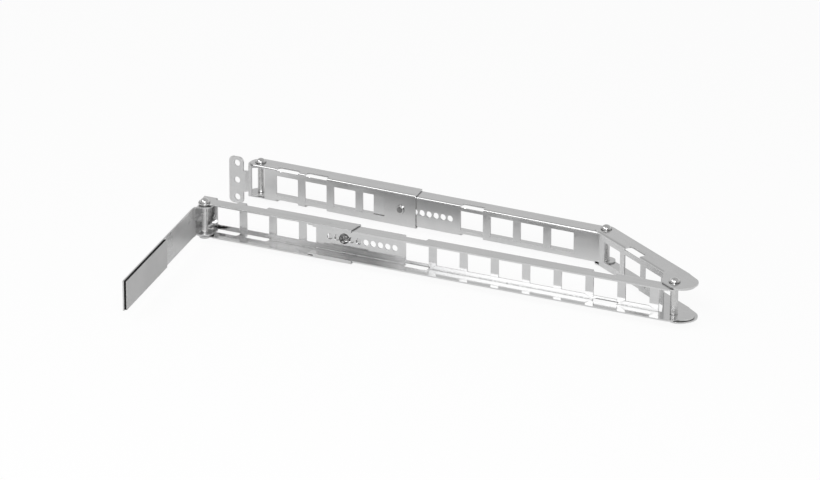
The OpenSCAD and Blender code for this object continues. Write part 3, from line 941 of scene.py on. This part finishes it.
@dataclass
class SoftSlab:
    """A thin soft slab in the space of a construction piece, with a round rim and faintly wavy faces."""

    name: str
    node: str
    round_off: float
    material: bpy.types.Material
    rows: int = 60
    columns: int = 14
    rim_steps: int = 5
    corner: float = 0.8 * MM
    least_corner: float = 0.15 * MM
    corner_steps: int = 5
    largest_round: float = 0.49
    ripple: float = 0.07 * MM
    still_rim: float = 2.0 * MM
    wave_count: int = 7
    waves_along: float = 3.0
    wave_range: tuple[float, float] = (0.4, 1.6)
    full_turn: float = 6.28
    seed: int = 11

    def build(self) -> bpy.types.Object:
        """Models the slab.

        Returns:
            The new object, riding on the server end.
        """
        origin, along, thick = self._axes()
        low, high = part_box(self.node)
        size = Vector((along.length, thick.length, high.z - low.z))
        mesh = bmesh.new()
        rings = [
            [mesh.verts.new(spot) for spot in self._outline(size, inset, depth)]
            for inset, depth in self._rim(size.y)
        ]
        for lower, upper in zip(rings, rings[1:]):
            for i in range(len(lower)):
                after = (i + 1) % len(lower)
                mesh.faces.new((lower[i], lower[after], upper[after], upper[i]))
        for ring in (list(reversed(rings[0])), rings[-1]):
            bmesh.ops.triangulate(mesh, faces=[mesh.faces.new(ring)])
        self._wave(mesh, size)
        bmesh.ops.recalc_face_normals(mesh, faces=mesh.faces)
        data = bpy.data.meshes.new(self.name)
        mesh.to_mesh(data)
        mesh.free()
        up = Vector((0, 0, 1))
        turn = Matrix((along.normalized(), thick.normalized(), up)).transposed().to_4x4()
        data.transform(Matrix.Translation(origin) @ turn)
        shade_smooth(data)
        piece = bpy.data.objects.new(self.name, data)
        bpy.context.scene.collection.objects.link(piece)
        data.materials.append(self.material)
        normals = piece.modifiers.new("flat_faces", "WEIGHTED_NORMAL")
        normals.keep_sharp = False
        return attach(piece, Body.SERVER_END.value)

    def _axes(self) -> tuple[Vector, Vector, Vector]:
        """Finds the low corner and the two edges in plan, from the construction piece's own corners.

        Returns:
            The corner on the plate's side at the lower height, the long edge and the thin edge.
        """
        level = 0.01 * MM
        points = {tuple(round(c, 6) for c in v.co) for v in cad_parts[self.node].data.vertices}
        low_z = min(p[2] for p in points)
        corners = [Vector(p) for p in points if p[2] < low_z + level]
        hinge = middle("server_hinge_rivet")
        corners.sort(key=lambda p: (p.xy - hinge.xy).length)
        near = sorted(corners[:2], key=lambda p: p.x)
        far = sorted(corners[2:], key=lambda p: p.x)
        return near[0], far[0] - near[0], near[1] - near[0]

    def _rim(self, thickness: float) -> list[tuple[float, float]]:
        """Follows the round rim from one face to the other.

        Args:
            thickness: The slab's thickness.

        Returns:
            The inset from the outermost outline and the depth of each loop.
        """
        radius = min(self.round_off, thickness * self.largest_round)
        turns = [math.pi * 0.5 * step / self.rim_steps for step in range(self.rim_steps + 1)]
        near = [(radius - radius * math.sin(turn), radius - radius * math.cos(turn)) for turn in turns]
        return near + [(inset, thickness - depth) for inset, depth in reversed(near)]

    def _outline(self, size: Vector, inset: float, depth: float) -> list[Vector]:
        """One loop round the slab at a depth through it.

        Args:
            size: Length, thickness and height.
            inset: Distance in from the outermost outline.
            depth: Place along the thickness.

        Returns:
            The loop's points in slab coordinates.
        """
        radius = max(self.corner - inset, self.least_corner)
        near = inset + radius
        far_x, far_z = size.x - near, size.z - near
        sides = (
            (far_x, near, -90, (0, 0, 1), size.z, self.columns),
            (far_x, far_z, 0, (-1, 0, 0), size.x, self.rows),
            (near, far_z, 90, (0, 0, -1), size.z, self.columns),
            (near, near, 180, (1, 0, 0), size.x, self.rows),
        )
        points: list[Vector] = []
        for x, z, start, way, side, count in sides:
            for k in range(self.corner_steps + 1):
                turn = math.radians(start + 90 * k / self.corner_steps)
                points.append(Vector((x + radius * math.cos(turn), depth, z + radius * math.sin(turn))))
            last, run = points[-1], side - 2 * near
            points += [last + Vector(way) * run * k / count for k in range(1, count)]
        return points

    def _wave(self, mesh: bmesh.types.BMesh, size: Vector) -> None:
        """Sinks the outer face here and there, and leaves its rim where it is.

        Args:
            mesh: The mesh that is built.
            size: Length, thickness and height.
        """
        rng = random.Random(self.seed)
        waves = [
            (rng.uniform(*self.wave_range), rng.uniform(*self.wave_range), rng.uniform(0, self.full_turn))
            for _ in range(self.wave_count)
        ]
        for vert in mesh.verts:
            x, y, z = vert.co
            u, v = x / size.x, z / size.z
            turns = [self.full_turn * (a * self.waves_along * u + b * v) + c for a, b, c in waves]
            wave = sum(math.sin(turn) for turn in turns) / len(waves)
            edge = max(0.0, min(1.0, min(x, size.x - x, z, size.z - z) / self.still_rim))
            outer = max(0.0, min(1.0, y / size.y))
            vert.co.y -= self.ripple * (0.5 + 0.5 * wave) * edge * outer


@dataclass
class ServerEnd:
    """The server bracket with its soft pad and the film over the pad."""

    effects: EffectLibrary
    turn_deg: float
    edges: EdgeBreak = field(default_factory=lambda: EdgeBreak(width=0.16 * MM))
    foam_round: float = 0.5 * MM
    film_round: float = 0.12 * MM

    def build(self) -> None:
        """Dresses the bracket and builds the pad."""
        finish = PlatedSheet(
            "bracket_plating", self.turn_deg, tone=0.78, dark_tone=0.62, smooth=0.24, dull=0.4
        )
        dress("server_bracket", finish.make(self.effects), self.edges)
        foam_finish, film_finish = CellFoam().make(self.effects), FilmLiner().make(self.effects)
        foam = SoftSlab("pad_foam", "foam_pad", self.foam_round, foam_finish).build()
        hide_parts("foam_pad")
        film = SoftSlab("pad_film", "pad_liner", self.film_round, film_finish).build()
        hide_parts("pad_liner")
        LOG.info("built the foam pad and its film")


# ---------------------------------------------------------------------------------------------------
# Studio and camera
# ---------------------------------------------------------------------------------------------------


@dataclass(frozen=True)
class Panel:
    """One soft lamp: a lit rectangle that faces the object."""

    name: str
    offset: tuple[float, float, float]
    width: float
    height: float
    radiance: float

    def hang(self, focus: Vector) -> None:
        """Hangs the lamp.

        Args:
            focus: The point that it faces and is placed from.
        """
        data = bpy.data.lights.new(self.name, "AREA")
        data.shape = "RECTANGLE"
        data.size, data.size_y = self.width, self.height
        data.energy = self.radiance * math.pi * self.width * self.height
        lamp = bpy.data.objects.new(self.name, data)
        away = Vector(self.offset)
        lamp.location = focus + away
        lamp.rotation_mode = "QUATERNION"
        lamp.rotation_quaternion = away.to_track_quat("Z", "Y")
        bpy.context.scene.collection.objects.link(lamp)


@dataclass
class Studio:
    """A plain pale floor, an even sky and soft lamps."""

    floor_gap: float = 0.4 * MM
    floor_size: float = 12.0
    floor_tone: float = 0.93
    floor_change: float = 0.01
    floor_lift: float = 0.93
    mirrored_lift: float = 0.06
    sky_light: float = 0.36
    backdrop_low: float = 0.95
    backdrop_high: float = 0.5
    backdrop_fade: tuple[float, float] = (0.05, 0.5)
    room: float = 0.35
    room_fade: tuple[float, float] = (-0.5, 0.2)
    panels: tuple[Panel, ...] = (
        Panel("key_panel", (0.75, -1.45, 1.3), 1.1, 0.7, 9.0),
        Panel("strip_panel", (-0.93, -0.88, 1.53), 1.5, 0.5, 3.2),
        Panel("low_panel", (-0.335, -1.0, 0.43), 0.33, 0.34, 1.6),
        Panel("slim_panel", (-0.696, -1.0, 0.42), 0.055, 0.34, 1.05),
    )

    def build(self) -> None:
        """Makes the floor, the world and the lamps."""
        low, high = CAD_BOX
        centre = (low + high) / 2
        self._floor(low.z - self.floor_gap, centre)
        self._world()
        for panel in self.panels:
            panel.hang(centre)
        LOG.info("built the studio")

    def _floor(self, height: float, centre: Vector) -> None:
        """Lays the floor.

        Args:
            height: Its level.
            centre: The middle of the object.
        """
        half = self.floor_size / 2
        data = bpy.data.meshes.new("floor")
        signs = ((-1, -1), (1, -1), (1, 1), (-1, 1))
        corners = [(centre.x + x * half, centre.y + y * half, height) for x, y in signs]
        data.from_pydata(corners, [], [(0, 1, 2, 3)])
        floor = bpy.data.objects.new("floor", data)
        bpy.context.scene.collection.objects.link(floor)
        data.materials.append(self._paint())

    def _paint(self) -> bpy.types.Material:
        """Makes the floor's paint, lifted towards white for the eye with the object's shadow kept.

        Returns:
            The material.
        """
        made = bpy.data.materials.new("floor_paint")
        made.use_nodes = True
        made.node_tree.nodes.clear()
        sheet = NodeSheet(made.node_tree)
        noise = sheet.add("ShaderNodeTexNoise", {"Scale": 3.0, "Detail": 2.0}).outputs[0]
        tone = sheet.mix(noise, grey(self.floor_tone), grey(self.floor_tone + self.floor_change))
        paint = sheet.add("ShaderNodeBsdfDiffuse", {"Color": tone})
        white = sheet.add("ShaderNodeEmission", {"Color": WHITE, "Strength": 1.0})
        path = sheet.add("ShaderNodeLightPath").outputs
        mirrored = sheet.math("MAXIMUM", path["Is Glossy Ray"], path["Is Transmission Ray"])
        lift = sheet.math("MULTIPLY", mirrored, self.mirrored_lift)
        lift = sheet.math("MULTIPLY_ADD", path["Is Camera Ray"], self.floor_lift, lift)
        both = sheet.add("ShaderNodeMixShader", {0: lift, 1: paint.outputs[0], 2: white.outputs[0]})
        sheet.add("ShaderNodeOutputMaterial", {"Surface": both.outputs[0]})
        return made

    def _world(self) -> None:
        """Makes the sky: a backdrop and a dimmer room, alike for the eye and in metal, and an even light."""
        world = bpy.data.worlds.new("studio_sky")
        bpy.context.scene.world = world
        world.use_nodes = True
        world.node_tree.nodes.clear()
        sheet = NodeSheet(world.node_tree)
        path = sheet.add("ShaderNodeLightPath").outputs
        seen = sheet.math("MAXIMUM", path["Is Camera Ray"], path["Is Glossy Ray"])
        seen = sheet.math("MAXIMUM", seen, path["Is Transmission Ray"])
        generated = sheet.add("ShaderNodeTexCoord").outputs["Generated"]
        toward = sheet.add("ShaderNodeSeparateXYZ", {0: generated}).outputs
        backdrop = sheet.span(toward["Z"], *self.backdrop_fade, self.backdrop_low, self.backdrop_high)
        behind = sheet.span(toward["Y"], *self.room_fade)
        drop = sheet.math("SUBTRACT", backdrop, self.room)
        around = sheet.math("MULTIPLY_ADD", behind, drop, self.room)
        rise = sheet.math("SUBTRACT", around, self.sky_light)
        level = sheet.math("MULTIPLY_ADD", seen, rise, self.sky_light)
        back = sheet.add("ShaderNodeBackground", {"Color": WHITE, "Strength": level})
        sheet.add("ShaderNodeOutputWorld", {"Surface": back.outputs[0]})


@dataclass(frozen=True)
class ViewCamera:
    """The viewing camera, placed by its direction and distance from the ear's middle hole."""

    place: tuple[float, float, float] = (1.92194, -3.07563, 1.25180)
    azimuth_deg: float = 29.579
    elevation_deg: float = 19.847
    roll_deg: float = 0.292
    lens_mm: float = 188.97
    sensor_mm: float = 36.0
    shift: tuple[float, float] = (0.001306, -0.00005)
    clip: tuple[float, float] = (0.05, 60.0)

    def build(self) -> None:
        """Makes the camera and sets it as the scene's own."""
        a, e, r = (math.radians(x) for x in (self.azimuth_deg, self.elevation_deg, self.roll_deg))
        right = Vector((math.cos(a), math.sin(a), 0))
        ahead = Vector((-math.sin(a) * math.cos(e), math.cos(a) * math.cos(e), -math.sin(e)))
        up = right.cross(ahead)
        side = right * math.cos(r) + up * math.sin(r)
        top = up * math.cos(r) - right * math.sin(r)
        data = bpy.data.cameras.new("view_camera")
        data.lens = self.lens_mm
        data.sensor_width = self.sensor_mm
        data.shift_x, data.shift_y = self.shift
        data.clip_start, data.clip_end = self.clip
        camera = bpy.data.objects.new("view_camera", data)
        turn = Matrix((side, top, -ahead)).transposed().to_4x4()
        camera.matrix_world = Matrix.Translation(Vector(self.place)) @ turn
        bpy.context.scene.collection.objects.link(camera)
        bpy.context.scene.camera = camera
        LOG.info("placed the camera")


def main() -> None:
    """Builds the camera, the studio and every sub-assembly."""
    logging.basicConfig(level=logging.INFO, format="%(name)s: %(message)s")
    bpy.context.scene.view_settings.view_transform = "Standard"
    ViewCamera().build()
    Studio().build()
    effects = EffectLibrary()
    rear_turn, link_turn, front_turn, bracket_turn = 0.0, -33.2, 1.76, -75.5
    RackEar(effects).build()
    TelescopicArm(effects, "rear", rear_turn).build()
    ElbowLink(effects, link_turn).build()
    TelescopicArm(effects, "front", front_turn).build()
    ServerEnd(effects, bracket_turn).build()
    for name in ("ear_hinge", "rear_link", "front_link", "server_hinge"):
        HingeStack(effects, name).build()


if __name__ == "__main__":
    main()
